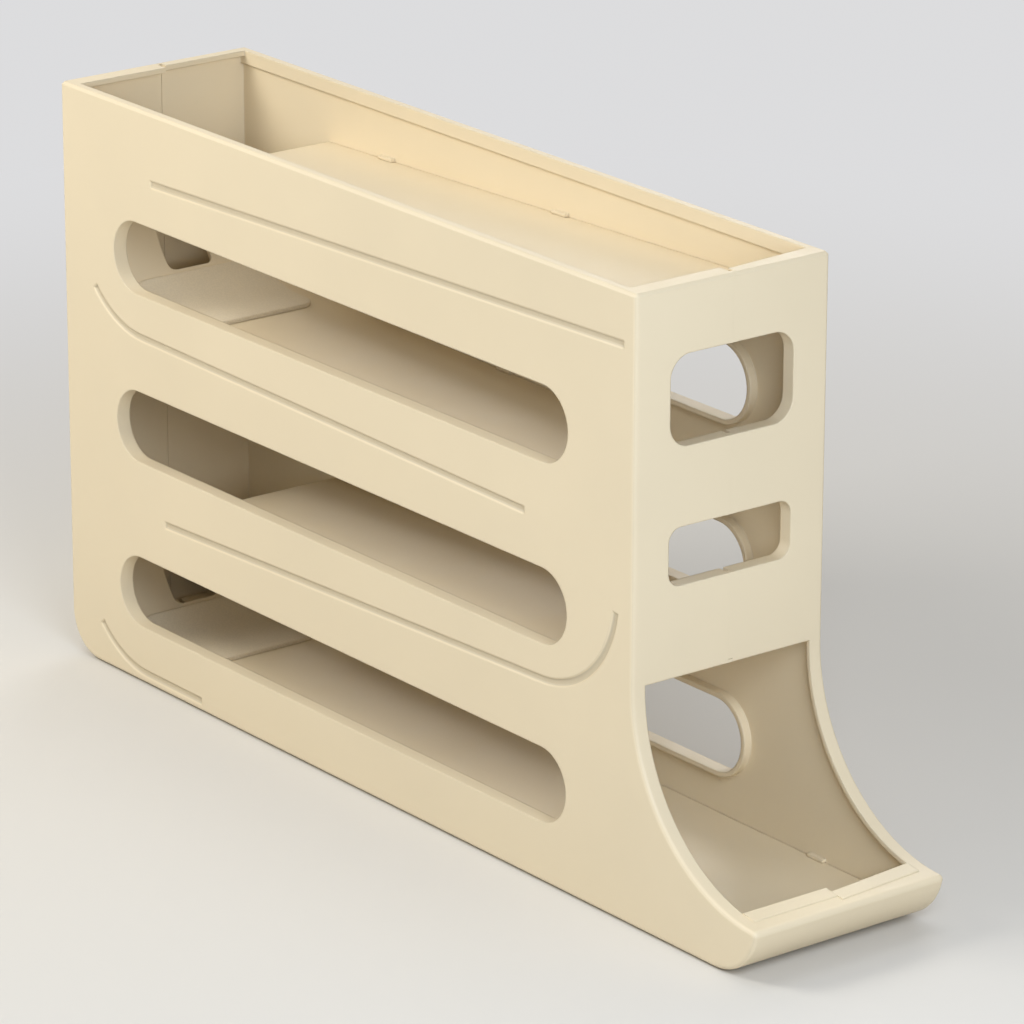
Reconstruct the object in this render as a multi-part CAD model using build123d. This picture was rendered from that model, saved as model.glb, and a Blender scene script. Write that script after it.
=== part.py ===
from build123d import *
import os
from math import cos, radians, sin

# A slim egg holder for a fridge shelf: four sloping lanes, one above the other, in a case of two
# moulded half shells. Eggs go in at the open top, roll along each ramp, drop to the next one at
# its free end and stop behind the lip of the low mouth.
# X is the width, -Y the mouth, +Z up. The origin is on the floor under the middle of the box
# round the whole holder. Lengths are in millimetres, angles in degrees.

# Overall size; the height follows from the lanes below
holder_width = 80.0
body_length = 325.0
lip_reach = 63.3
lip_height = 19.0
foot_standoff = 0.6
overrun = 5.0

# Walls and outer rounding
wall = 2.4
heel_radius = 16.0
toe_radius = 21.0
lip_tip_radius = 1.7
side_edge_radius = 1.5
top_edge_chamfer = 1.0

# Rims: walls turned inwards round the openings
rim_depth = 5.4
rim_wall = 1.8
side_rim_width = 3.7
side_rim_height = 5.0
end_rim_width = 5.0
end_rim_height = 2.0
lip_width = 10.4
lap_shelf = 2.6
mouth_clearance = 0.3

# Side slots, one in front of each of the three closed lanes
slot_length = 259.0
slot_height = 26.4
slot_setback = 34.0
slot_base = 21.9
slot_pitch = 62.4

# Windows in the front wall, above the base of the slot of their lane
window_width = 51.0
upper_window_height = 31.0
upper_window_rise = 13.7
upper_window_radius = 8.0
lower_window_height = 20.0
lower_window_rise = 29.3
lower_window_radius = 5.0

# Ramps, placed by the middle line of the ledge under each one at its high end
ramp_wall = 1.6
ledge_wall = 1.4
ledge_reach = 3.0
curve_radius = 40.0
curve_setback = 8.5
curve_angle = 80.0
top_ledge_rise = 23.8
top_ramp_angle = 1.7
top_gap = 55.0
top_wall_rise = 17.6
second_ledge_drop = 15.5
second_ramp_angle = 0.9
second_gap = 56.5
third_ledge_drop = 12.3
third_ramp_angle = 1.9
third_gap = 60.5
bottom_ledge_height = 4.5
bottom_ramp_angle = 0.3
side_clearance = 0.2
seat_clearance = 0.1

# Notch in the upper part of each curve
notch_width = 18.8
notch_angle = 43.0
notch_radius = 3.0

# Ribs under each ramp and keepers over its edges
rib_wall = 1.2
rib_depth = 3.0
rib_spread = 24.0
keeper_length = 8.0
keeper_wall = 1.2
keeper_reach = 1.6
keeper_shares = (0.12, 0.5, 0.88)

# Grooves in the outer face, behind the ledges
groove_width = 3.2
groove_depth = 0.8
groove_taper_angle = 52.0
groove_setback = 5.5
rear_groove_angle = 46.0
bottom_groove_length = 34.0

# Seam between the two shells
tongue_wall = 1.1
tongue_reach = 1.6
tongue_clearance = 0.15
boss_radius = 3.0
boss_gap = 1.2
peg_radius = 1.6
peg_reach = 4.0
peg_clearance = 0.15

# Soft pads on the curves, and feet
pad_wall = 1.5
pad_width = 56.0
pad_lead = 12.0
pad_angle = 40.0
foot_radius = 6.0
foot_height = 2.0
foot_clearance = 0.1
foot_margin = 8.0

# Places worked out from the sizes above
middle_slot_base = slot_base + slot_pitch
upper_slot_base = middle_slot_base + slot_pitch
top_ledge_height = upper_slot_base + slot_height + top_ledge_rise
second_ledge_height = upper_slot_base - second_ledge_drop
third_ledge_height = middle_slot_base - third_ledge_drop
holder_height = top_ledge_height + top_wall_rise
half_width = holder_width / 2
side_inner = half_width - wall
front_y = (lip_reach - body_length) / 2
back_y = front_y + body_length
lip_y = front_y - lip_reach
front_inner_y = front_y + wall
back_inner_y = back_y - wall
base_z = foot_standoff
floor_z = base_z + wall
sweep_top = lip_height + lip_reach
mouth_top = sweep_top + mouth_clearance
seat_rise = ledge_wall / 2 + seat_clearance
ramp_rise = seat_rise + ramp_wall


def across(face, start_x, end_x):
    """Carry a side view, drawn as Y and Z, from start_x to end_x."""
    return extrude(Plane.YZ.offset(start_x) * face, amount=end_x - start_x)


def along(face, start_y, end_y):
    """Carry a front view, drawn as X and Z, backwards from start_y to end_y."""
    plane = Plane(origin=(0, end_y, 0), x_dir=(1, 0, 0), z_dir=(0, -1, 0))
    return extrude(plane * face, amount=end_y - start_y)


def area_between(low, high):
    """A rectangle of a side view, from its lowest corner to its highest corner."""
    size = [far - near for near, far in zip(low, high)]
    return Pos(*low) * Rectangle(*size, align=(Align.MIN, Align.MIN))


# Side views of the shell


def blank_outline():
    """Side view of the holder before its mouth is cut: rounded at the toe and the heel."""
    base = Line((back_y - heel_radius, base_z), (lip_y + toe_radius, base_z))
    toe = CenterArc((lip_y + toe_radius, base_z + toe_radius), toe_radius, 270, -90)
    front = Line(toe @ 1, (lip_y, holder_height))
    top = Line(front @ 1, (back_y, holder_height))
    back = Line(top @ 1, (back_y, base_z + heel_radius))
    heel = CenterArc((back_y - heel_radius, base_z + heel_radius), heel_radius, 0, -90)
    return make_face([base, toe, front, top, back, heel])


def mouth_outline():
    """Side view of what the mouth takes away: a quarter-round sweep between front wall and lip."""
    above = area_between((lip_y - overrun, sweep_top), (front_y, holder_height + overrun))
    below = area_between((lip_y - overrun, lip_height - overrun), (front_y, sweep_top))
    return above + (below & Pos(lip_y, sweep_top) * Circle(lip_reach))


def shell_outline():
    """Side view of the whole holder: upright body, sweep of the mouth and rounded lip."""
    outline = blank_outline() - mouth_outline()
    tip = outline.vertices().sort_by(Axis.X)[0]
    return fillet(tip, radius=lip_tip_radius)


def egg_space(lip_inner_y):
    """Side view of the space for the eggs: the body, its open top and the mouth behind the lip."""
    inside = offset(shell_outline(), amount=-wall)
    body = inside & area_between((front_inner_y, 0), (back_y, holder_height))
    top = area_between((front_inner_y, holder_height - heel_radius), (back_inner_y, holder_height + overrun))
    mouth = area_between((lip_inner_y, floor_z), (front_inner_y + overrun, mouth_top))
    return body + top + (mouth & offset(blank_outline(), amount=-wall))


def lip_hollow(lip_inner_y):
    """Side view of the hollow inside the lip, which is open only at the seam."""
    inside = offset(shell_outline(), amount=-wall)
    return inside & area_between((lip_y, 0), (lip_inner_y - rim_wall, lip_height - rim_wall))


# Ramps


class RampLine:
    """The middle line of the ledge under a ramp.

    The ramp starts at its high end, where it may curve up against an end wall, and runs down
    to its free end. toward is +1 for a high end at the back and -1 for one at the front.
    """

    def __init__(self, toward, high_y, height, slope, free_y, sweep):
        lean = radians(slope)
        self.toward = toward
        self.sweep = sweep
        self.down = (-toward * cos(lean), -sin(lean))
        self.rise = (-toward * sin(lean), cos(lean))
        self.start = (high_y, height)
        self.length = toward * (high_y - free_y) / cos(lean)
        self.centre = self.point(0, curve_radius)
        self.first_angle = 270 + toward * slope

    def point(self, distance, height):
        """The point that lies distance down the ramp and height above its line."""
        return tuple(
            self.start[i] + self.down[i] * distance + self.rise[i] * height for i in (0, 1)
        )

    def straight(self, low, high, near, far):
        """A strip beside the straight part, from near to far down the ramp."""
        corners = [(near, low), (far, low), (far, high), (near, high)]
        return make_face(Polyline(*[self.point(*corner) for corner in corners], close=True))

    def curve(self, low, high, first, last):
        """A strip beside the curve, between two angles of its sweep."""
        turn = self.toward
        start = self.first_angle + turn * first
        outer = CenterArc(self.centre, curve_radius - low, start, turn * (last - first))
        inner = CenterArc(self.centre, curve_radius - high, start, turn * (last - first))
        return make_face([outer, Line(outer @ 1, inner @ 1), inner, Line(inner @ 0, outer @ 0)])

    def strip(self, low, high, far, sweep):
        """A strip beside the whole line: its curve up to sweep, and its straight part down to far."""
        straight = self.straight(low, high, 0, far)
        if not sweep:
            return straight
        return straight + self.curve(low, high, 0, sweep)


def curved_line(toward, height, slope, free_y):
    """A ramp line whose curve ends upright at the set distance from its end wall."""
    end_y = back_y if toward > 0 else front_y
    centre_y = end_y - toward * (curve_setback + curve_radius)
    high_y = centre_y + toward * curve_radius * sin(radians(slope))
    return RampLine(toward, high_y, height, slope, free_y, curve_angle)


top_start_y = front_inner_y + seat_clearance
bottom_end_y = lip_y + max(lip_width + lap_shelf, toe_radius - wall) + seat_clearance
top_line = RampLine(-1, top_start_y, top_ledge_height, top_ramp_angle, back_y - top_gap, 0)
second_line = curved_line(1, second_ledge_height, second_ramp_angle, front_y + second_gap)
third_line = curved_line(-1, third_ledge_height, third_ramp_angle, back_y - third_gap)
bottom_line = curved_line(1, bottom_ledge_height, bottom_ramp_angle, bottom_end_y)
ramp_lines = (top_line, second_line, third_line, bottom_line)


def notch_tool(line):
    """The cut that takes the middle out of the upper part of a curve, with rounded corners."""
    band = line.curve(-rib_depth, ramp_rise + overrun, notch_angle, curve_angle + overrun)
    tool = across(band, -notch_width / 2, notch_width / 2)
    floor_face = tool.faces().sort_by(Axis.Z)[0]
    corners = floor_face.edges().filter_by(Axis.X, reverse=True)
    return fillet(corners, radius=notch_radius)


def ramp_ribs(line):
    """Two stiffening ribs under a ramp, along its whole length."""
    strip = line.strip(seat_rise - rib_depth, seat_rise, line.length, line.sweep)
    left = across(strip, -rib_spread / 2 - rib_wall, -rib_spread / 2)
    right = across(strip, rib_spread / 2, rib_spread / 2 + rib_wall)
    return left + right


def ramp(line, ribs=True):
    """A ramp: a plate between the side walls, notched in its curve and ribbed below."""
    edge_x = side_inner - side_clearance
    body = across(line.strip(seat_rise, ramp_rise, line.length, line.sweep), -edge_x, edge_x)
    if ribs:
        body += ramp_ribs(line)
    if line.sweep:
        body -= notch_tool(line)
    return body


def landing_pad(line):
    """The soft pad that catches an egg where it drops onto a curve."""
    low = ramp_rise + seat_clearance
    high = low + pad_wall
    strip = line.strip(low, high, pad_lead, pad_angle)
    return across(strip, -pad_width / 2, pad_width / 2)


# Features of one shell, all drawn for the left one


def shell_block():
    """The outer form of the left shell, rounded along the edge of its side and bevelled round its top.

    The fillet runs on along the smooth chain of edges that the base edge belongs to.
    """
    block = across(shell_outline(), -half_width, 0)
    side = block.faces().sort_by(Axis.X)[0]
    base_edge = side.edges().sort_by(Axis.Z)[0]
    block = fillet(base_edge, radius=side_edge_radius)
    top = block.faces().sort_by(Axis.Z)[-1]
    seam_edge = top.edges().sort_by(Axis.X)[-1]
    return chamfer(top.edges() - [seam_edge], length=top_edge_chamfer)


def slot_places():
    """The middle of each side slot in the side view."""
    y = front_y + slot_setback + slot_length / 2
    return [(y, base + slot_height / 2) for base in (slot_base, middle_slot_base, upper_slot_base)]


def slot_rims():
    """The rims turned inwards round the side slots."""
    outer = SlotOverall(slot_length + 2 * rim_wall, slot_height + 2 * rim_wall)
    faces = [Pos(*place) * outer for place in slot_places()]
    return [across(face, wall - half_width, rim_depth - half_width) for face in faces]


def slot_cuts():
    """The side slots themselves."""
    opening = SlotOverall(slot_length, slot_height)
    faces = [Pos(*place) * opening for place in slot_places()]
    return [across(face, -half_width - overrun, rim_depth - half_width + overrun) for face in faces]


def window_face(height, base, radius, growth):
    """Front view of a window, or of its rim when it has some growth."""
    shape = RectangleRounded(window_width + 2 * growth, height + 2 * growth, radius + growth)
    return Pos(0, base + height / 2) * shape


def window_faces(growth):
    """Front views of both windows."""
    upper_base = upper_slot_base + upper_window_rise
    lower_base = middle_slot_base + lower_window_rise
    upper = window_face(upper_window_height, upper_base, upper_window_radius, growth)
    lower = window_face(lower_window_height, lower_base, lower_window_radius, growth)
    return [upper, lower]


def left_half(solid):
    """The part of a solid that lies on the left of the seam."""
    reach = holder_width + overrun
    keep = Pos(-reach / 2, 0, holder_height / 2) * Box(reach, 2 * body_length, 2 * holder_height)
    return solid & keep


def window_rims():
    """The rims turned inwards round the windows, up to the seam."""
    solids = [along(face, front_inner_y, front_y + rim_depth) for face in window_faces(rim_wall)]
    return [left_half(solid) for solid in solids]


def window_cuts():
    """The windows themselves."""
    start = front_y - overrun
    return [along(face, start, front_y + rim_depth + overrun) for face in window_faces(0)]


def top_rims(rim_width):
    """The thicker top edge of the side, and the rims turned inwards on both end walls."""
    top = holder_height
    side = area_between((front_inner_y, top - side_rim_height), (back_inner_y, top))
    front = area_between((front_inner_y, top - end_rim_height), (front_y + rim_width, top))
    back = area_between((back_y - rim_width, top - end_rim_height), (back_inner_y, top))
    return [
        across(side, -side_inner, side_rim_width - half_width),
        across(front, -side_inner, 0),
        across(back, -side_inner, 0),
    ]


def flare(start_y, low, high):
    """A wedge that widens a rim from nothing at the seam to the full lap at the side, in the top view."""
    corners = [(0, start_y), (-side_inner, start_y), (-side_inner, start_y + lap_shelf)]
    face = make_face(Polyline(*corners, close=True))
    return extrude(Plane.XY.offset(low) * face, amount=high - low)


def rim_flares():
    """The wedges that bring the right shell's lip and front rim to the left one's width at the side."""
    lip_flare = flare(lip_y + lip_width, lip_height - end_rim_height, sweep_top)
    front_flare = flare(front_y + end_rim_width, holder_height - end_rim_height, holder_height)
    return [lip_flare & across(shell_outline(), -half_width, 0), front_flare]


def mouth_rims():
    """The rim turned inwards along the sweep of the mouth, and the one under the front wall."""
    disc = Pos(lip_y, sweep_top) * Circle(lip_reach + rim_wall)
    opening = Pos(lip_y, sweep_top) * Circle(lip_reach)
    corner = area_between((lip_y, lip_height - rim_wall), (front_y + rim_wall, mouth_top))
    sweep_rim = (disc - opening) & corner & shell_outline()
    sill = area_between((front_inner_y, mouth_top), (front_y + rim_depth, mouth_top + rim_wall))
    return [across(sweep_rim, -side_inner, rim_depth - half_width), across(sill, -side_inner, 0)]


def ledges():
    """The ledges on the side wall that carry the ramps."""
    low, high = -ledge_wall / 2, ledge_wall / 2
    strips = [line.strip(low, high, line.length, line.sweep) for line in ramp_lines]
    return [across(strip, -side_inner, ledge_reach - side_inner) for strip in strips]


def keepers():
    """Short tabs on the side wall that hold the ramps down on their ledges."""
    low = ramp_rise + seat_clearance
    solids = []
    for line in ramp_lines:
        for share in keeper_shares:
            near = (line.length - keeper_length) * share
            tab = line.straight(low, low + keeper_wall, near, near + keeper_length)
            solids.append(across(tab, -side_inner, keeper_reach - side_inner))
    return solids


def groove_cuts():
    """The shallow grooves in the outer face that follow the ledges, with sloping walls."""
    low, high = -groove_width / 2, groove_width / 2
    top = top_line.straight(low, high, groove_setback - wall, top_line.length)
    second = second_line.strip(low, high, second_line.length, rear_groove_angle)
    third = third_line.strip(low, high, third_line.length, curve_angle)
    bottom = bottom_line.strip(low, high, bottom_groove_length, rear_groove_angle)
    outer = Plane.YZ.offset(-half_width)
    faces = [outer * face for face in (top, second, third, bottom)]
    return [extrude(face, amount=groove_depth, taper=groove_taper_angle) for face in faces]


def boss_places():
    """The middles of the locating bosses: in the heel, behind one curve and before the other."""
    heel_run = (heel_radius - wall - boss_radius - boss_gap) * sin(radians(45))
    reach = wall + boss_gap + boss_radius
    heel = (back_y - heel_radius + heel_run, base_z + heel_radius - heel_run)
    back = (back_y - reach, second_ledge_height + boss_radius)
    front = (front_y + reach, mouth_top + rim_wall + boss_gap + boss_radius)
    return [heel, back, front]


def bosses():
    """Round posts from the side wall to the seam."""
    return [across(Pos(*place) * Circle(boss_radius), -side_inner, 0) for place in boss_places()]


def pegs():
    """The pegs on the left bosses, which reach into the right ones."""
    return [across(Pos(*place) * Circle(peg_radius), -wall, peg_reach) for place in boss_places()]


def peg_holes():
    """The holes in the right bosses, drawn on the left like the rest of the shell."""
    hole = Circle(peg_radius + peg_clearance)
    return [across(Pos(*place) * hole, -peg_reach - 2 * peg_clearance, overrun) for place in boss_places()]


def tongue():
    """The thin tongue on the left shell's seam, along the inner side of its end walls and floor."""
    space = egg_space(lip_y + lip_width)
    band = (offset(space, amount=tongue_wall) - space) & shell_outline()
    return across(band, -wall, tongue_reach)


def rebate():
    """The step in the right shell's seam that takes the tongue, drawn on the left."""
    space = egg_space(lip_y + lip_width)
    wide = offset(space, amount=tongue_wall + tongue_clearance)
    return across(wide, -tongue_reach - tongue_clearance, overrun)


def foot_places():
    """The middles of the left feet: behind the toe and before the heel."""
    x = foot_margin + foot_radius - half_width
    front = (x, lip_y + toe_radius + foot_margin)
    back = (x, back_y - heel_radius - foot_margin)
    return [front, back]


def foot_pockets():
    """The round pockets that the feet are stuck into."""
    height = foot_height - foot_standoff
    pocket = Cylinder(foot_radius + foot_clearance, height, align=(Align.CENTER, Align.CENTER, Align.MIN))
    return [Pos(x, y, base_z) * pocket for x, y in foot_places()]


def foot(place):
    """One soft foot."""
    body = Cylinder(foot_radius, foot_height, align=(Align.CENTER, Align.CENTER, Align.MIN))
    return Pos(*place) * body


def plain_shell(shelf):
    """What both shells share; shelf is how much deeper the lip and the end rims are."""
    lip_inner_y = lip_y + lip_width + shelf
    shell = shell_block()
    shell -= across(egg_space(lip_inner_y), -side_inner, overrun)
    shell -= across(lip_hollow(lip_inner_y), -side_inner, overrun)
    shell += slot_rims() + window_rims() + top_rims(end_rim_width + shelf) + mouth_rims()
    shell += ledges() + keepers() + bosses()
    return shell


def left_shell():
    """The left shell: deeper rims, the tongue and the pegs."""
    shell = plain_shell(lap_shelf)
    shell += tongue()
    shell += pegs()
    return shell - (slot_cuts() + window_cuts() + groove_cuts() + foot_pockets())


def right_shell():
    """The right shell, made like the left one and mirrored: the rebate and the peg holes."""
    shell = plain_shell(0)
    shell += rim_flares()
    shell -= rebate()
    shell -= peg_holes() + slot_cuts() + window_cuts() + groove_cuts() + foot_pockets()
    return mirror(shell, about=Plane.YZ)


def parts():
    """Every piece by name."""
    front_foot, back_foot = foot_places()
    return {
        "left_shell": left_shell(),
        "right_shell": right_shell(),
        "top_ramp": ramp(top_line),
        "second_ramp": ramp(second_line),
        "third_ramp": ramp(third_line),
        "bottom_ramp": ramp(bottom_line, ribs=False),
        "second_ramp_pad": landing_pad(second_line),
        "third_ramp_pad": landing_pad(third_line),
        "bottom_ramp_pad": landing_pad(bottom_line),
        "front_left_foot": foot(front_foot),
        "back_left_foot": foot(back_foot),
        "front_right_foot": foot((-front_foot[0], front_foot[1])),
        "back_right_foot": foot((-back_foot[0], back_foot[1])),
    }


os.makedirs("parts", exist_ok=True)
for name, solid in parts().items():
    export_step(solid, f"parts/{name}.step")
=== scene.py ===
import math

import bpy
import numpy as np
from mathutils import Matrix, Vector


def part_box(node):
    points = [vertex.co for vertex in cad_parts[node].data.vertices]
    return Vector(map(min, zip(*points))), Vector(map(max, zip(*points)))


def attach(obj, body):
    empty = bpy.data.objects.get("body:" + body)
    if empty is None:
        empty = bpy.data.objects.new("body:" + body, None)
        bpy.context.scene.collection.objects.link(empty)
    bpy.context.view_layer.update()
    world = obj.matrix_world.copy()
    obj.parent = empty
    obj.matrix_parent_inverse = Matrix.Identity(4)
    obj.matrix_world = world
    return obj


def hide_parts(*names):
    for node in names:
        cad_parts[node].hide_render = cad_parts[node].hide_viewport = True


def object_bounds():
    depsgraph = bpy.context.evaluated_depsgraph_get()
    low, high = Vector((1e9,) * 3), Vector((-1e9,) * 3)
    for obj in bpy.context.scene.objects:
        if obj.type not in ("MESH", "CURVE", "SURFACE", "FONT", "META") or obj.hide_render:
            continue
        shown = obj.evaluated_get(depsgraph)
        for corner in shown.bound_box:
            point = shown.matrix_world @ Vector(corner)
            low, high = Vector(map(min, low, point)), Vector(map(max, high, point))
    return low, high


# A slim egg holder in cream moulded plastic: two half shells, four ramps, strips along the lip, soft
# landing pads and feet. Everything is in metres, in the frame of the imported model: X is the width, -Y the
# mouth, +Z up.

bl_info = {
    "name": "Egg holder",
    "version": (1, 0, 0),
    "blender": (4, 5, 0),
    "location": "View3D > Sidebar > Egg holder",
    "description": "The finishes, lip strips, landing pads, feet and stage of an egg holder",
    "category": "Object",
}

BODY = "root"
SHELLS = ("left_shell", "right_shell")
RAMPS = ("top_ramp", "second_ramp", "third_ramp", "bottom_ramp")
# Which way along Y the bend of each landing pad lies, and the slope of its ramp in degrees
PADS = {"second_ramp_pad": (1, 0.9), "third_ramp_pad": (-1, 1.9), "bottom_ramp_pad": (1, 0.3)}
FEET = ("front_left_foot", "back_left_foot", "front_right_foot", "back_right_foot")
TURN = 2 * math.pi

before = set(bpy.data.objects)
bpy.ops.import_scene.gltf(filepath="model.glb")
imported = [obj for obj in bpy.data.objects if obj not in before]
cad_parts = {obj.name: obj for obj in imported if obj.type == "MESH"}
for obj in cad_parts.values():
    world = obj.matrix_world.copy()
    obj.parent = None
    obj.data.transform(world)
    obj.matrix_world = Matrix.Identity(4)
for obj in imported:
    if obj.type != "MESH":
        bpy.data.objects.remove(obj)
cad_box = [list(corner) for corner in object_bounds()]


# Meshes

# How finely the new pieces are divided
EDGE_STEPS = 7
MIDDLE_STEPS = 33
STRIP_ROWS = 25
FOOT_ARC_STEPS = 9
FOOT_SIDES = 64
FOOT_INNER_SHARES = (0.02, 0.5)

# Faces that meet at more than this angle keep a crisp edge
CREASE_ANGLE = math.radians(50)


def surface_mesh(name, grid):
    """A closed mesh from a grid of points, rows by columns by XYZ.

    Each row is one closed loop of points, and the rows follow each other along the piece. The loops run
    counter-clockwise as seen from the last row, so that the faces point outwards. A flat face closes the
    first row, and another the last one.
    """
    rows, columns, _ = grid.shape
    index = np.arange(rows * columns).reshape(rows, columns)
    here, beside = index[:-1], np.roll(index, -1, axis=1)[:-1]
    above, above_beside = index[1:], np.roll(index, -1, axis=1)[1:]
    quads = np.stack([here, beside, above_beside, above], axis=-1).reshape(-1, 4)
    ends = [index[0, ::-1].tolist(), index[-1].tolist()]
    mesh = bpy.data.meshes.new(name)
    mesh.from_pydata(grid.reshape(-1, 3), [], quads.tolist() + ends)
    mesh.shade_smooth()
    return mesh


def add_piece(mesh, material, nodes):
    """Put a finished mesh into the scene as a piece of the object. It stands for the CAD nodes, if any."""
    mesh.materials.append(material)
    piece = bpy.data.objects.new(mesh.name, mesh)
    bpy.context.scene.collection.objects.link(piece)
    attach(piece, BODY)
    if nodes:
        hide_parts(*nodes)
    return piece


# Materials

# Noise and cell patterns lie mostly between these values
PATTERN_LOW, PATTERN_HIGH = 0.3, 0.7

# Beside the seam, the rounding of the edges grows to its full radius between these distances
SEAM_FROM, SEAM_TO = 0.001, 0.003

# Between these sizes of its normal along X, a face comes to count as level with the sides
LEVEL_FROM, LEVEL_TO = 0.7, 0.78

# Sockets of a Mix node that mixes colours
MIX_FIRST, MIX_SECOND, MIX_RESULT = 6, 7, 2


def link_in_order(tree, sources, node):
    """Join sockets to the inputs of a node, the first to the first and so on."""
    for source, target in zip(sources, node.inputs):
        tree.links.new(source, target)


class Finish:
    """A material under construction: its nodes, and its principled shader."""

    def __init__(self, name):
        self.material = bpy.data.materials.new(name)
        self.material.use_nodes = True
        self.tree = self.material.node_tree
        self.shader = self.tree.nodes["Principled BSDF"]
        self.place = self.add("ShaderNodeTexCoord").outputs["Object"]

    def add(self, kind, **settings):
        """A new node; settings are its own properties."""
        node = self.tree.nodes.new(kind)
        for name, value in settings.items():
            setattr(node, name, value)
        return node

    def link(self, source, target):
        """Join two sockets."""
        self.tree.links.new(source, target)

    def noise(self, scale, detail=2.0, roughness=0.5):
        """A noise pattern in the object's own space; scale is in features per metre."""
        node = self.add("ShaderNodeTexNoise")
        node.inputs["Scale"].default_value = scale
        node.inputs["Detail"].default_value = detail
        node.inputs["Roughness"].default_value = roughness
        self.link(self.place, node.inputs["Vector"])
        return node.outputs["Fac"]

    def blend(self, factor, low, high):
        """The colour between low and high, by a pattern."""
        node = self.add("ShaderNodeValToRGB")
        first, last = node.color_ramp.elements
        first.position, last.position = PATTERN_LOW, PATTERN_HIGH
        first.color, last.color = (*low, 1), (*high, 1)
        self.link(factor, node.inputs["Fac"])
        return node.outputs["Color"]

    def step(self, value, start, end, low=0.0, high=1.0, shape="SMOOTHSTEP"):
        """A number from low to high, while value goes from start to end; smooth, or as shape says."""
        node = self.add("ShaderNodeMapRange", interpolation_type=shape)
        ends = {"From Min": start, "From Max": end, "To Min": low, "To Max": high}
        for name, number in ends.items():
            node.inputs[name].default_value = number
        self.link(value, node.inputs["Value"])
        return node.outputs["Result"]

    def spread(self, factor, low, high):
        """The number between low and high, by a pattern."""
        return self.step(factor, PATTERN_LOW, PATTERN_HIGH, low, high, shape="LINEAR")

    def size_along_x(self, vector):
        """The X of a vector, taken as positive."""
        axes = self.add("ShaderNodeSeparateXYZ")
        self.link(vector, axes.inputs["Vector"])
        node = self.add("ShaderNodeMath", operation="ABSOLUTE")
        self.link(axes.outputs["X"], node.inputs["Value"])
        return node.outputs["Value"]

    def product(self, first, second):
        """The product of two numbers."""
        node = self.add("ShaderNodeMath", operation="MULTIPLY")
        link_in_order(self.tree, (first, second), node)
        return node.outputs["Value"]

    def bump(self, height, depth, normal=None):
        """A bumped normal; depth is how far a full step of the pattern rises, in metres."""
        node = self.add("ShaderNodeBump")
        node.inputs["Strength"].default_value = 1.0
        node.inputs["Distance"].default_value = depth
        self.link(height, node.inputs["Height"])
        if normal:
            self.link(normal, node.inputs["Normal"])
        return node.outputs["Normal"]

    def soft_edges(self, radius, seam_radius):
        """A normal that rounds every sharp edge within radius, and within seam_radius close to the seam.

        The seam lies in the plane X = 0.
        """
        node = self.add("ShaderNodeBevel", samples=8)
        beside = self.size_along_x(self.place)
        self.link(self.step(beside, SEAM_FROM, SEAM_TO, seam_radius, radius), node.inputs["Radius"])
        return node.outputs["Normal"]

    def set_back(self, face, start, full):
        """From 0 to 1, how far a level stretch of either side lies behind the outer face; it masks the
        painted shade in the grooves.

        The depth is face less the distance from the plane X = 0. It counts from start on, wholly between full
        and twice full, and no more from three times full on. Walls that turn away from the side don't count,
        by the size of their normal along X.
        """
        surface = self.add("ShaderNodeNewGeometry")
        level = self.step(self.size_along_x(surface.outputs["True Normal"]), LEVEL_FROM, LEVEL_TO)
        beside = self.size_along_x(self.place)
        deep = self.step(beside, face - full, face - start, low=1.0, high=0.0)
        near = self.step(beside, face - 3 * full, face - 2 * full)
        return self.product(self.product(level, deep), near)


def shade(color, factor):
    """A colour made lighter or darker by a factor."""
    return tuple(min(channel * factor, 1.0) for channel in color)


def moulded_plastic(name, look):
    """Cream moulded plastic: a cloudy colour, painted shade in the grooves, a fine grain and softly broken
    edges.
    """
    finish = Finish(name)
    color = tuple(look.color)
    cloud = finish.noise(scale=14.0, detail=3.0)
    tone = finish.blend(cloud, shade(color, 1 - look.cloud), shade(color, 1 + look.cloud))
    # Painted shade: the bottoms of the grooves get a darker colour that stands for the shade falling in them
    groove = finish.set_back(cad_box[1][0], look.painted_shade_start, look.painted_shade_full)
    painted_shade_mix = finish.add("ShaderNodeMix", data_type="RGBA")
    finish.link(groove, painted_shade_mix.inputs["Factor"])
    finish.link(tone, painted_shade_mix.inputs[MIX_FIRST])
    painted_shade_mix.inputs[MIX_SECOND].default_value = (*shade(color, 1 - look.painted_groove_shade), 1)
    finish.link(painted_shade_mix.outputs[MIX_RESULT], finish.shader.inputs["Base Color"])
    patches = finish.noise(scale=55.0, detail=4.0)
    roughness = finish.spread(patches, look.least_roughness, look.most_roughness)
    finish.link(roughness, finish.shader.inputs["Roughness"])
    edges = finish.soft_edges(look.edge_radius, look.seam_radius)
    waves = finish.bump(finish.noise(scale=24.0), look.wave_depth, edges)
    grain = finish.noise(scale=1 / look.grain_size, detail=4.0, roughness=0.65)
    finish.link(finish.bump(grain, look.grain_depth, waves), finish.shader.inputs["Normal"])
    finish.shader.inputs["Specular IOR Level"].default_value = 0.4
    return finish.material


def pad_foam(name, look):
    """Closed-cell foam: small pores sunk deeper than the skin between them, with painted shade in them."""
    finish = Finish(name)
    color = tuple(look.color)
    cells = finish.add("ShaderNodeTexVoronoi")
    cells.inputs["Scale"].default_value = 1 / look.pore_size
    finish.link(finish.place, cells.inputs["Vector"])
    pores_and_painted_shade = cells.outputs["Distance"]
    # Painted shade: the pores' colour is 5 percent darker, standing for the shade inside them
    finish.link(finish.blend(pores_and_painted_shade, shade(color, 0.95), color), finish.shader.inputs["Base Color"])
    patches = finish.noise(scale=90.0)
    finish.link(finish.spread(patches, low=0.75, high=0.9), finish.shader.inputs["Roughness"])
    finish.link(finish.bump(pores_and_painted_shade, look.pore_depth), finish.shader.inputs["Normal"])
    finish.shader.inputs["Sheen Weight"].default_value = 0.15
    return finish.material


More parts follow.
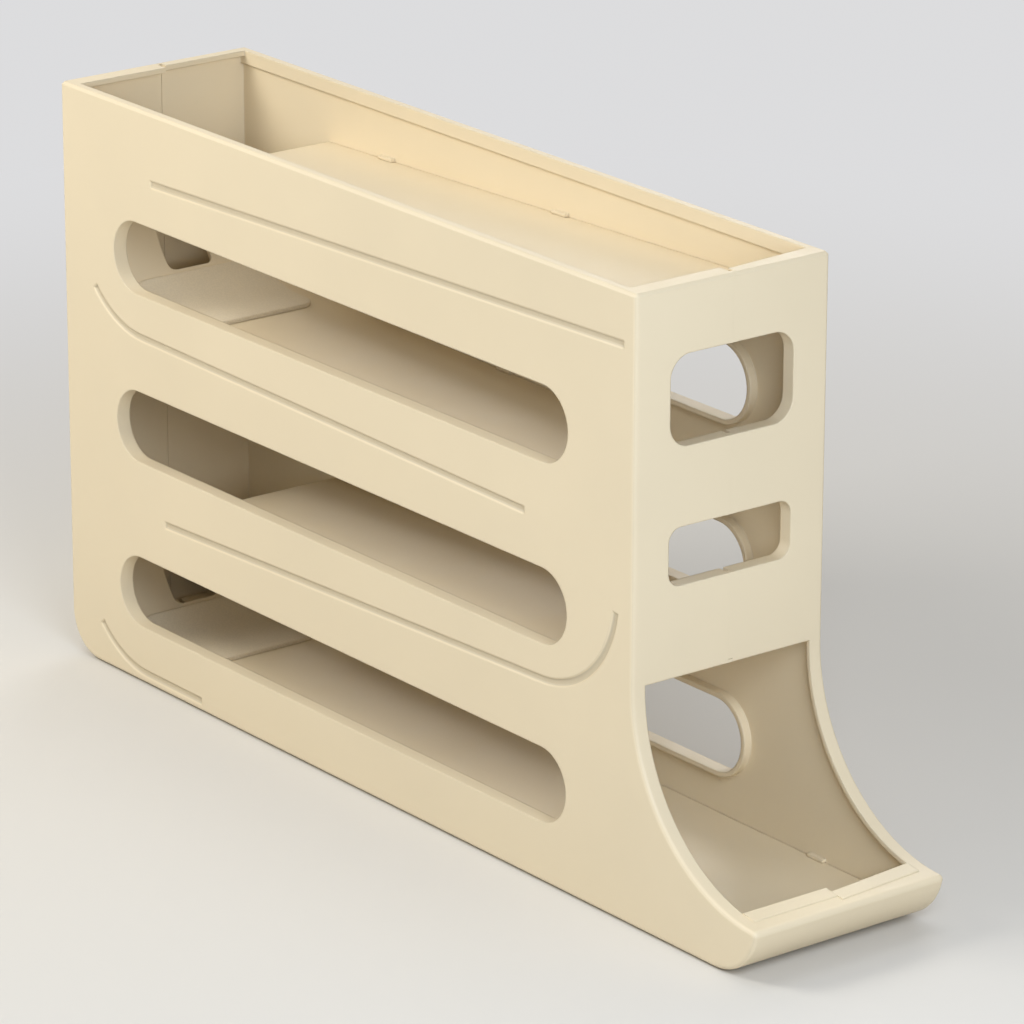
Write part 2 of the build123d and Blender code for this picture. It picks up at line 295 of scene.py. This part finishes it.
def foot_rubber(name, look):
    """Milky rubber: a slightly cloudy colour and a satin skin with a very fine grain."""
    finish = Finish(name)
    color = tuple(look.color)
    cloud = finish.noise(scale=160.0, detail=3.0)
    tone = finish.blend(cloud, shade(color, 0.93), shade(color, 1.04))
    finish.link(tone, finish.shader.inputs["Base Color"])
    finish.link(finish.spread(cloud, low=0.5, high=0.62), finish.shader.inputs["Roughness"])
    finish.link(finish.bump(finish.noise(scale=2400.0), look.grain_depth), finish.shader.inputs["Normal"])
    return finish.material


def seen_directly(tree):
    """A number that is 1 for what the camera sees, and 0 for light on its way to a surface.

    What shows in gloss or through glass counts as seen.
    """
    path = tree.nodes.new("ShaderNodeLightPath")
    total = path.outputs["Is Camera Ray"]
    for name in ("Is Glossy Ray", "Is Transmission Ray"):
        both = tree.nodes.new("ShaderNodeMath")
        both.use_clamp = True
        link_in_order(tree, (total, path.outputs[name]), both)
        total = both.outputs["Value"]
    return total


def mixed_shader(tree, share, first, second):
    """A shader that goes from first to second, as share goes from 0 to 1."""
    mix = tree.nodes.new("ShaderNodeMixShader")
    link_in_order(tree, (share, first, second), mix)
    return mix.outputs["Shader"]


def plain_floor(name, settings):
    """A matte paper floor that fades into the even backdrop round it."""
    finish = Finish(name)
    color = tuple(settings.floor_color)
    tone = finish.blend(finish.noise(scale=1.5), shade(color, 0.995), shade(color, 1.005))
    finish.link(tone, finish.shader.inputs["Base Color"])
    finish.shader.inputs["Roughness"].default_value = 0.9
    finish.shader.inputs["Specular IOR Level"].default_value = 0.2
    away = finish.add("ShaderNodeVectorMath", operation="LENGTH")
    finish.link(finish.place, away.inputs["Vector"])
    fade = finish.step(away.outputs["Value"], settings.fade_from, settings.fade_to)
    backdrop = finish.add("ShaderNodeEmission")
    backdrop.inputs["Color"].default_value = (*settings.backdrop_color, 1)
    share = finish.product(fade, seen_directly(finish.tree))
    surface = mixed_shader(
        finish.tree, share, finish.shader.outputs["BSDF"], backdrop.outputs["Emission"])
    finish.link(surface, finish.tree.nodes["Material Output"].inputs["Surface"])
    return finish.material


# Settings


class PlasticLook(bpy.types.PropertyGroup):
    """The finish of the moulded plastic."""

    color: bpy.props.FloatVectorProperty(
        name="Colour", description="Base colour of the plastic", subtype="COLOR", default=(0.76, 0.645, 0.45),
        min=0, max=1)
    cloud: bpy.props.FloatProperty(
        name="Cloudiness", description="How much the colour varies", subtype="FACTOR", default=0.02,
        min=0, max=0.2)
    least_roughness: bpy.props.FloatProperty(
        name="Least roughness", description="Roughness of the smoothest patches", subtype="FACTOR",
        default=0.42, min=0, max=1)
    most_roughness: bpy.props.FloatProperty(
        name="Most roughness", description="Roughness of the roughest patches", subtype="FACTOR",
        default=0.54, min=0, max=1)
    grain_size: bpy.props.FloatProperty(
        name="Grain size", description="Size of the fine grain", default=0.0005, unit="LENGTH", precision=5)
    grain_depth: bpy.props.FloatProperty(
        name="Grain depth", description="Height of the fine grain", default=0.00003, unit="LENGTH",
        precision=6)
    wave_depth: bpy.props.FloatProperty(
        name="Wave depth", description="Height of the slow waves that cooling leaves", default=0.0002,
        unit="LENGTH", precision=6)
    edge_radius: bpy.props.FloatProperty(
        name="Edge radius", description="Rounding of the sharp edges", default=0.0008, unit="LENGTH",
        precision=5)
    seam_radius: bpy.props.FloatProperty(
        name="Seam radius", description="Rounding of the edges where the two shells meet", default=0.00015,
        unit="LENGTH", precision=5)
    # The painted shade in the grooves: how deep it begins, how deep it is full, and how much darker it paints
    # them
    painted_shade_start: bpy.props.FloatProperty(
        name="Shade from", description="How deep in the grooves their shade begins", default=0.0002,
        unit="LENGTH", precision=5)
    painted_shade_full: bpy.props.FloatProperty(
        name="Shade full", description="How deep in the grooves the shade is full", default=0.00055,
        unit="LENGTH", precision=5)
    painted_groove_shade: bpy.props.FloatProperty(
        name="Groove shade", description="How much darker the bottom of the grooves is", subtype="FACTOR",
        default=0.22, min=0, max=1)


class LipLook(bpy.types.PropertyGroup):
    """The low raised strip along the inner edge of the lip, and the lip that it lies on."""

    width: bpy.props.FloatProperty(
        name="Width", description="Width of the strip", default=0.006, unit="LENGTH", precision=4)
    height: bpy.props.FloatProperty(
        name="Height", description="How far the strip stands up", default=0.0004, unit="LENGTH", precision=5)
    edge_radius: bpy.props.FloatProperty(
        name="Edge radius", description="Rounding of the strip's edges", default=0.0004, unit="LENGTH",
        precision=5)
    sink: bpy.props.FloatProperty(
        name="Sink", description="How far the strip reaches into the lip", default=0.0003, unit="LENGTH",
        precision=5)
    seam_gap: bpy.props.FloatProperty(
        name="Seam gap", description="From the seam to the end of each half", default=0.00005, unit="LENGTH",
        precision=5)
    half_length: bpy.props.FloatProperty(
        name="Half length", description="From the seam to the side rims", default=0.0346, unit="LENGTH",
        precision=4)
    lip_width: bpy.props.FloatProperty(
        name="Lip width", description="Width of the lip's top at the seam, on the right", default=0.0104,
        unit="LENGTH", precision=4)
    lap: bpy.props.FloatProperty(
        name="Lap", description="How much wider the left half of the lip is at the seam", default=0.0026,
        unit="LENGTH", precision=4)
    side_inner: bpy.props.FloatProperty(
        name="Side", description="From the seam to the inner face of the side", default=0.0376, unit="LENGTH",
        precision=4)
    lip_height: bpy.props.FloatProperty(
        name="Lip height", description="Lowest point of the lip's top above the floor", default=0.019,
        unit="LENGTH", precision=4)
    sweep_radius: bpy.props.FloatProperty(
        name="Sweep radius", description="Radius of the mouth's quarter round", default=0.0633, unit="LENGTH",
        precision=4)
    tip_setback: bpy.props.FloatProperty(
        name="Tip setback", description="How far the rounded tip lies behind the end of the quarter round",
        default=0.00048, unit="LENGTH", precision=5)


class PadLook(bpy.types.PropertyGroup):
    """The soft landing pads, cut from a sheet of foam and bent along the curves of the ramps."""

    under_radius: bpy.props.FloatProperty(
        name="Bend radius", description="Radius of the bend, at the pad's under side", default=0.0375,
        unit="LENGTH", precision=4)
    lead: bpy.props.FloatProperty(
        name="Lead", description="Length of the straight part before the bend", default=0.012, unit="LENGTH",
        precision=4)
    sweep: bpy.props.FloatProperty(
        name="Sweep", description="How far the pad follows the bend", default=math.radians(40),
        subtype="ANGLE")
    thickness: bpy.props.FloatProperty(
        name="Thickness", description="Thickness of the foam", default=0.0015, unit="LENGTH", precision=4)
    corner_radius: bpy.props.FloatProperty(
        name="Corner radius", description="Rounding of the pad's corners, seen from above", default=0.006,
        unit="LENGTH", precision=4)
    edge_radius: bpy.props.FloatProperty(
        name="Edge radius", description="Rounding of the upper edge", default=0.0007, unit="LENGTH",
        precision=5)
    color: bpy.props.FloatVectorProperty(
        name="Colour", description="Base colour of the foam", subtype="COLOR", default=(0.77, 0.665, 0.48),
        min=0, max=1)
    pore_size: bpy.props.FloatProperty(
        name="Pore size", description="Distance between the pores of the foam", default=0.0007, unit="LENGTH",
        precision=5)
    pore_depth: bpy.props.FloatProperty(
        name="Pore depth", description="Depth of the pores of the foam", default=0.0000175, unit="LENGTH",
        precision=7)


class FootLook(bpy.types.PropertyGroup):
    """The small round feet."""

    color: bpy.props.FloatVectorProperty(
        name="Colour", description="Base colour of the rubber", subtype="COLOR", default=(0.72, 0.68, 0.58),
        min=0, max=1)
    grain_depth: bpy.props.FloatProperty(
        name="Grain depth", description="Height of the fine grain", default=0.00001, unit="LENGTH",
        precision=6)
    edge_radius: bpy.props.FloatProperty(
        name="Edge radius", description="Rounding of the sole's rim", default=0.0005, unit="LENGTH",
        precision=5)


class StageSettings(bpy.types.PropertyGroup):
    """Camera, lights and floor."""

    aim: bpy.props.FloatVectorProperty(
        name="Aim", description="The point that the camera looks at", subtype="TRANSLATION",
        default=(0.0064, -0.00785, 0.0990))
    distance: bpy.props.FloatProperty(
        name="Distance", description="From the aim to the camera", default=2.0048, unit="LENGTH")
    yaw: bpy.props.FloatProperty(
        name="Yaw", description="How far the view turns from +Y towards +X", default=math.radians(37.74),
        subtype="ANGLE")
    pitch: bpy.props.FloatProperty(
        name="Pitch", description="How far the view tilts down", default=math.radians(19.14), subtype="ANGLE")
    roll: bpy.props.FloatProperty(
        name="Roll", description="How far the camera leans", default=math.radians(0.157), subtype="ANGLE")
    lens: bpy.props.FloatProperty(
        name="Lens", description="Focal length in millimetres on a sensor 36 mm wide", default=207.7,
        subtype="DISTANCE_CAMERA")
    floor_color: bpy.props.FloatVectorProperty(
        name="Floor", description="Colour of the floor", subtype="COLOR", default=(0.68, 0.655, 0.61),
        min=0, max=1)
    backdrop_color: bpy.props.FloatVectorProperty(
        name="Backdrop", description="Colour behind the floor", subtype="COLOR", default=(0.72, 0.72, 0.73),
        min=0, max=1)
    fade_from: bpy.props.FloatProperty(
        name="Fade from", description="Where the floor begins to fade into the backdrop", default=0.2,
        unit="LENGTH")
    fade_to: bpy.props.FloatProperty(
        name="Fade to", description="Where the floor has faded into the backdrop", default=0.8,
        unit="LENGTH")
    even_light: bpy.props.FloatProperty(
        name="Even light", description="Strength of the light from all round", subtype="FACTOR",
        default=0.24, min=0, max=1)
    floor_gap: bpy.props.FloatProperty(
        name="Floor gap", description="From the soles down to the floor", default=0.0001, unit="LENGTH",
        precision=5)
    floor_size: bpy.props.FloatProperty(
        name="Floor size", description="Length of the floor's sides", default=16.0, unit="LENGTH")


# Case and ramps


def dress(names, material):
    """Give CAD nodes a material in place of the plain one."""
    for name in names:
        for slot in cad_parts[name].material_slots:
            slot.material = material


class EGGHOLDER_OT_case(bpy.types.Operator):
    """Finish both half shells in moulded plastic."""

    bl_idname = "eggholder.case"
    bl_label = "Case"

    def execute(self, context):
        dress(SHELLS, moulded_plastic("case_plastic", context.scene.eggholder_case))
        return {"FINISHED"}


class EGGHOLDER_OT_ramps(bpy.types.Operator):
    """Finish the four ramps in moulded plastic."""

    bl_idname = "eggholder.ramps"
    bl_label = "Ramps"

    def execute(self, context):
        dress(RAMPS, moulded_plastic("ramp_plastic", context.scene.eggholder_ramps))
        return {"FINISHED"}


# Lip


def spaced(length, edge):
    """Distances from 0 to length: even in the middle, and close together within an edge at both ends."""
    near = edge * (1 - np.cos(np.linspace(0, math.pi / 2, EDGE_STEPS)))
    middle = np.linspace(edge, length - edge, MIDDLE_STEPS)
    return np.concatenate([near[:-1], middle, length - near[-2::-1]])


def quarter_round(inside, edge, height):
    """How high a flat top lies that drops at its outline as a quarter arc of the edge's radius.

    At a distance d inside the outline it is height - edge + sqrt(edge * edge - (edge - d) * (edge - d)) high.
    """
    return height - edge + np.sqrt(np.maximum(edge**2 - (edge - np.clip(inside, 0, edge)) ** 2, 0))


def strip_mesh(name, side, look):
    """One half of the low raised strip along the inner edge of the lip.

    Seen from the side, the lip's top is the end of the mouth's quarter round: a circle of radius R round
    (c_y, c_z). The strip's points lie a height above it, measured towards that middle: at a distance t
    behind the middle, the circle is c_z - sqrt(R * R - t * t) high. The inner edge is straight on the left
    half, and on the right one runs out from the seam to the same depth at the side.
    """
    centre_y, centre_z = cad_box[0][1] - look.tip_setback, look.lip_height + look.sweep_radius
    across = np.linspace(look.seam_gap, look.half_length, STRIP_ROWS)
    opened = np.ones_like(across) if side < 0 else across / look.side_inner
    inner = look.lip_width + look.lap * opened
    forward = spaced(look.width, look.edge_radius)
    above = quarter_round(np.minimum(forward, look.width - forward), look.edge_radius, look.height)
    forward = np.concatenate([forward, forward[::-1]])
    above = np.concatenate([above, np.full_like(above, -look.sink)])
    behind = inner[:, None] - forward
    fall = np.sqrt(look.sweep_radius**2 - behind**2)
    nearer = 1 - above / look.sweep_radius
    grid = np.empty((*behind.shape, 3))
    grid[..., 0] = side * across[:, None]
    grid[..., 1] = centre_y + behind * nearer
    grid[..., 2] = centre_z - fall * nearer
    mesh = surface_mesh(name, grid[::side])
    mesh.set_sharp_from_angle(angle=CREASE_ANGLE)
    return mesh


class EGGHOLDER_OT_lip(bpy.types.Operator):
    """Raise the strip along the inner edge of the lip."""

    bl_idname = "eggholder.lip"
    bl_label = "Lip"

    def execute(self, context):
        look = context.scene.eggholder_lip
        for side, shell in zip((-1, 1), SHELLS):
            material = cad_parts[shell].material_slots[0].material
            add_piece(strip_mesh(shell + "_lip_strip", side, look), material, [])
        return {"FINISHED"}


# Landing pads


def pad_flat(look, length, width):
    """A pad before it is bent: how far each point lies along it, across it and above its under side.

    Rows go along the pad and columns across it. A row is as wide as the rounded outline is there:
    half width less corner times (1 - sqrt(1 - t * t)), where t runs from 0 to 1 along the corner. The
    top drops towards the outline as a quarter arc of the edge's radius, by the distance from it.
    """
    corner, edge = look.corner_radius, look.edge_radius
    along = spaced(length, edge)
    past_corner = np.clip(np.abs(along - length / 2) - (length / 2 - corner), 0, corner)
    half_width = width / 2 - corner + np.sqrt(corner**2 - past_corner**2)
    share = spaced(2.0, 2 * edge / width) - 1
    across = half_width[:, None] * share
    out_along = np.maximum(np.abs(along - length / 2) - (length / 2 - corner), 0)[:, None]
    out_across = np.maximum(np.abs(across) - (width / 2 - corner), 0)
    from_corner = corner - np.hypot(out_along, out_across)
    from_sides = np.minimum(width / 2 - np.abs(across), length / 2 - np.abs(along - length / 2)[:, None])
    inside = np.where((out_along > 0) & (out_across > 0), from_corner, from_sides)
    return along, across, quarter_round(inside, edge, look.thickness)


def pad_mesh(name, node, look):
    """A landing pad: a sheet that runs straight for its lead and then round its bend, against its ramp.

    At a distance s past the lead, a point h above the under side lies on a circle of radius R - h, turned
    by s / R from the bend's start, where R is the bend's radius at the under side. Before the lead's end
    it lies on the straight line that meets that circle.
    """
    toward, slope = PADS[node]
    slope = math.radians(slope)
    low, high = (np.array(corner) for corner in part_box(node))
    radius, last = look.under_radius, look.sweep + slope
    far_y = high[1] if toward > 0 else low[1]
    centre_y = far_y - toward * radius * math.sin(last)
    centre_z = high[2] + (radius - look.thickness) * math.cos(last)
    along, across, above = pad_flat(look, look.lead + radius * look.sweep, high[0] - low[0])
    height = np.concatenate([above, np.zeros_like(above)], axis=1)
    run = np.minimum(along - look.lead, 0)[:, None]
    turn = slope + (np.maximum(along - look.lead, 0) / radius)[:, None]
    grid = np.empty((*height.shape, 3))
    grid[..., 0] = np.concatenate([across, across[:, ::-1]], axis=1) * toward
    grid[..., 1] = centre_y + toward * ((radius - height) * np.sin(turn) + run * math.cos(slope))
    grid[..., 2] = centre_z - (radius - height) * np.cos(turn) + run * math.sin(slope)
    mesh = surface_mesh(name, grid)
    mesh.set_sharp_from_angle(angle=CREASE_ANGLE)
    return mesh


class EGGHOLDER_OT_pads(bpy.types.Operator):
    """Lay a soft pad on each curve of the ramps."""

    bl_idname = "eggholder.pads"
    bl_label = "Landing pads"

    def execute(self, context):
        look = context.scene.eggholder_pads
        material = pad_foam("soft_pad", look)
        for node in PADS:
            pad = add_piece(pad_mesh(node + "_foam", node, look), material, [node])
        return {"FINISHED"}


# Feet


def foot_mesh(name, node, edge):
    """A round foot: its profile is carried round an upright axis.

    The profile runs from the middle of the sole out to the rim, round a quarter arc of the edge's radius,
    and up to the top and back to its middle. At both middles a small flat face closes it.
    """
    low, high = (np.array(corner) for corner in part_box(node))
    middle, radius, height = (low + high) / 2, (high[0] - low[0]) / 2, high[2] - low[2]
    arc = np.linspace(0, math.pi / 2, FOOT_ARC_STEPS)
    inner = radius * np.array(FOOT_INNER_SHARES)
    out = np.concatenate([inner, radius - edge + edge * np.sin(arc), [radius], inner[::-1]])
    up = np.concatenate([np.zeros(len(inner)), edge * (1 - np.cos(arc)), np.full(len(inner) + 1, height)])
    turn = np.linspace(0, TURN, FOOT_SIDES, endpoint=False)
    grid = np.empty((len(out), len(turn), 3))
    grid[..., 0] = middle[0] + out[:, None] * np.cos(turn)
    grid[..., 1] = middle[1] + out[:, None] * np.sin(turn)
    grid[..., 2] = low[2] + up[:, None]
    return surface_mesh(name, grid)


class EGGHOLDER_OT_feet(bpy.types.Operator):
    """Stick the four round feet under the case."""

    bl_idname = "eggholder.feet"
    bl_label = "Feet"

    def execute(self, context):
        look = context.scene.eggholder_feet
        material = foot_rubber("foot_rubber", look)
        for node in FEET:
            mesh = foot_mesh(node + "_rubber", node, look.edge_radius)
            add_piece(mesh, material, [node])
        return {"FINISHED"}


# Stage


def add_camera(settings):
    """The camera: it looks at the aim from the set distance, turned, tilted and leaned as set."""
    cos_pitch = math.cos(settings.pitch)
    sin_yaw, cos_yaw = math.sin(settings.yaw), math.cos(settings.yaw)
    view = Vector((sin_yaw * cos_pitch, cos_yaw * cos_pitch, -math.sin(settings.pitch)))
    level = Vector((cos_yaw, -sin_yaw, 0))
    rotation = Matrix((level, level.cross(view), -view)).transposed().to_4x4()
    camera = bpy.data.objects.new("camera", bpy.data.cameras.new("camera"))
    camera.data.lens = settings.lens
    camera.data.clip_end = settings.floor_size * 2
    place = Matrix.Translation(Vector(settings.aim) - view * settings.distance)
    camera.matrix_world = place @ rotation @ Matrix.Rotation(settings.roll, 4, "Z")
    bpy.context.scene.collection.objects.link(camera)
    bpy.context.scene.camera = camera


WHITE = (1.0, 1.0, 1.0)
WARM = (1.0, 0.975, 0.91)
COOL = (0.79, 0.875, 1.0)
LAMPS = (
    {"name": "side_light", "place": (-0.55, 0.35, 0.6), "size": 0.35, "power": 3.9, "color": WARM},
    {"name": "front_light", "place": (-0.3, -0.75, 0.45), "size": 0.4, "power": 5.2, "color": COOL},
    {"name": "top_light", "place": (0.1, 0.2, 1.8), "size": 1.2, "power": 7.2, "color": WHITE},
    {"name": "back_light", "place": (1.3, 0.9, 0.9), "size": 0.9, "power": 7.0, "color": WHITE},
)


def add_lamp(name, place, size, power, color):
    """A square soft light at a place, turned towards the middle of the object."""
    light = bpy.data.lights.new(name, "AREA")
    light.size, light.energy, light.color = size, power, color
    lamp = bpy.data.objects.new(name, light)
    lamp.visible_camera = False
    middle = (Vector(cad_box[0]) + Vector(cad_box[1])) / 2
    lamp.location = place
    lamp.rotation_euler = (middle - Vector(place)).to_track_quat("-Z", "Y").to_euler()
    bpy.context.scene.collection.objects.link(lamp)


def add_floor(settings):
    """A flat square floor just under the feet."""
    half = settings.floor_size / 2
    below = -settings.floor_gap
    corners = [(-half, -half, below), (half, -half, below), (half, half, below), (-half, half, below)]
    mesh = bpy.data.meshes.new("floor")
    mesh.from_pydata(corners, [], [(0, 1, 2, 3)])
    mesh.materials.append(plain_floor("floor", settings))
    floor = bpy.data.objects.new("floor", mesh)
    bpy.context.scene.collection.objects.link(floor)


def add_surroundings(settings):
    """Even light from all round; what the camera sees of it is the backdrop's colour."""
    world = bpy.data.worlds.new("surroundings")
    world.use_nodes = True
    tree = world.node_tree
    light = tree.nodes["Background"]
    light.inputs["Color"].default_value = (*WHITE, 1)
    light.inputs["Strength"].default_value = settings.even_light
    backdrop = tree.nodes.new("ShaderNodeBackground")
    backdrop.inputs["Color"].default_value = (*settings.backdrop_color, 1)
    shown = mixed_shader(
        tree, seen_directly(tree), light.outputs["Background"], backdrop.outputs["Background"])
    tree.links.new(shown, tree.nodes["World Output"].inputs["Surface"])
    bpy.context.scene.world = world


class EGGHOLDER_OT_stage(bpy.types.Operator):
    """Set up the camera, the floor, the soft lights and the even surroundings."""

    bl_idname = "eggholder.stage"
    bl_label = "Stage"

    def execute(self, context):
        settings = context.scene.eggholder_stage
        add_camera(settings)
        add_floor(settings)
        for lamp in LAMPS:
            add_lamp(**lamp)
        add_surroundings(settings)
        context.scene.view_settings.view_transform = "Standard"
        return {"FINISHED"}


class EGGHOLDER_PT_sidebar(bpy.types.Panel):
    """The pieces of the egg holder and their settings."""

    bl_label = "Egg holder"
    bl_idname = "EGGHOLDER_PT_sidebar"
    bl_space_type = "VIEW_3D"
    bl_region_type = "UI"
    bl_category = "Egg holder"

    def draw(self, context):
        for operator, group, settings in SECTIONS:
            box = self.layout.box()
            box.operator(operator.bl_idname)
            for name in settings.__annotations__:
                box.prop(getattr(context.scene, group), name)


SECTIONS = (
    (EGGHOLDER_OT_case, "eggholder_case", PlasticLook),
    (EGGHOLDER_OT_ramps, "eggholder_ramps", PlasticLook),
    (EGGHOLDER_OT_lip, "eggholder_lip", LipLook),
    (EGGHOLDER_OT_pads, "eggholder_pads", PadLook),
    (EGGHOLDER_OT_feet, "eggholder_feet", FootLook),
    (EGGHOLDER_OT_stage, "eggholder_stage", StageSettings),
)
LOOKS = (PlasticLook, LipLook, PadLook, FootLook, StageSettings)
CLASSES = (*LOOKS, *(row[0] for row in SECTIONS), EGGHOLDER_PT_sidebar)


def register():
    """Make the settings, operators and panel known."""
    for known in CLASSES:
        bpy.utils.register_class(known)
    for _, group, settings in SECTIONS:
        setattr(bpy.types.Scene, group, bpy.props.PointerProperty(type=settings))


def unregister():
    """Take them away again."""
    for _, group, _ in SECTIONS:
        delattr(bpy.types.Scene, group)
    for known in reversed(CLASSES):
        bpy.utils.unregister_class(known)


def main():
    """Build every piece and the stage."""
    register()
    bpy.ops.eggholder.case()
    bpy.ops.eggholder.ramps()
    bpy.ops.eggholder.lip()
    bpy.ops.eggholder.pads()
    bpy.ops.eggholder.feet()
    bpy.ops.eggholder.stage()


if __name__ == "__main__":
    main()
